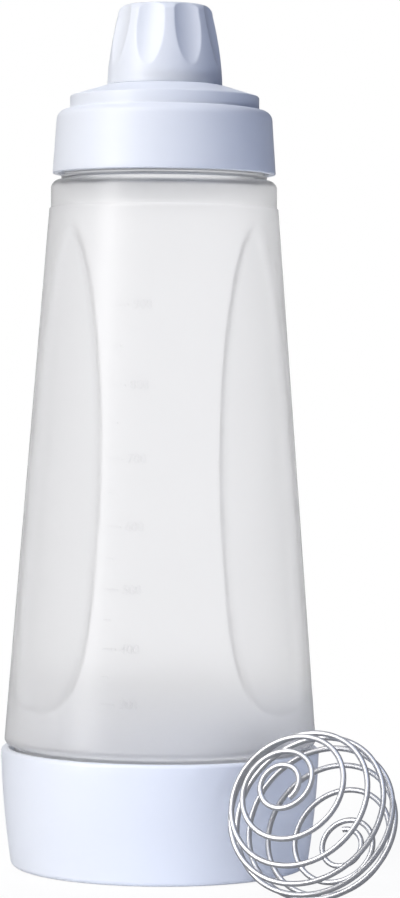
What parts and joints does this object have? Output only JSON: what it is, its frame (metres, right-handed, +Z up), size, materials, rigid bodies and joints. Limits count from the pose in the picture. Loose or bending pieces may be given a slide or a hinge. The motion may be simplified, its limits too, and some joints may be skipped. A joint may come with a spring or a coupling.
{
  "type": "batter shaker bottle",
  "caption": "Conical frosted squeeze bottle open at both ends, with screw-on base cup, screw-on lid with pouring nozzle, fluted spout cap and a loose wire whisk ball.",
  "frame": {"origin": "centre of the base cup's flat underside, on the bottle's axis, at floor level", "axes": "+Z up along the bottle's axis; the front panel between the grip recesses faces -Y; the whisk ball lies in front to the right (+X, -Y)"},
  "size_m": [0.118, 0.1389, 0.2637],
  "materials": {
    "base_cup": "glossy moulded polypropylene, very pale blue",
    "base_seal": "satin silicone",
    "bottle_body": "frosted translucent polyethylene",
    "lid_gasket": "satin silicone",
    "lid_collar": "glossy moulded polypropylene, very pale blue",
    "spout_valve": "translucent silicone",
    "valve_retainer": "satin moulded polypropylene",
    "spout_cap": "glossy moulded polypropylene, very pale blue",
    "cap_liner": "satin silicone",
    "whisk_ball": "bright drawn stainless wire"
  },
  "bodies": {
    "base": {"base_cup": "base_cup"},
    "base_seal": {"base_seal": "base_seal"},
    "bottle": {"bottle_body": "bottle_body"},
    "lid_gasket": {"lid_gasket": "lid_gasket"},
    "lid": {"lid_collar": "lid_collar", "spout_valve": "spout_valve", "valve_retainer": "valve_retainer"},
    "cap_liner": {"cap_liner": "cap_liner"},
    "cap": {"spout_cap": "spout_cap"},
    "ball": {"whisk_ball": "whisk_ball"}
  },
  "joints": [
    {"name": "base_turn", "type": "hinge", "parent": "base", "child": "base_seal", "pos_m": [0, 0, 0.0173], "axis": [0, 0, 1], "range_deg": [0, 1080]},
    {"name": "base_rise", "type": "slide", "parent": "base_seal", "child": "bottle", "axis": [0, 0, 1], "range_m": [0, 0.0181]},
    {"name": "lid_rise", "type": "slide", "parent": "bottle", "child": "lid_gasket", "axis": [0, 0, 1], "range_m": [0, 0.0166]},
    {"name": "lid_turn", "type": "hinge", "parent": "lid_gasket", "child": "lid", "pos_m": [0, 0, 0.2119], "axis": [0, 0, 1], "range_deg": [0, 990]},
    {"name": "cap_rise", "type": "slide", "parent": "lid", "child": "cap_liner", "axis": [0, 0, 1], "range_m": [0, 0.0211]},
    {"name": "cap_turn", "type": "hinge", "parent": "cap_liner", "child": "cap", "pos_m": [0, 0, 0.23875], "axis": [0, 0, 1], "range_deg": [0, 1260]},
    {"name": "ball_lift", "type": "slide", "parent": "base", "child": "ball", "axis": [0, 0, 1], "range_m": [0, 0.25]}
  ],
  "couplings": [
    {"joint": "base_rise", "follows": "base_turn", "m_per_rad": 0.00095493},
    {"joint": "lid_rise", "follows": "lid_turn", "m_per_rad": 0.00095493},
    {"joint": "cap_rise", "follows": "cap_turn", "m_per_rad": 0.00095493}
  ]
}
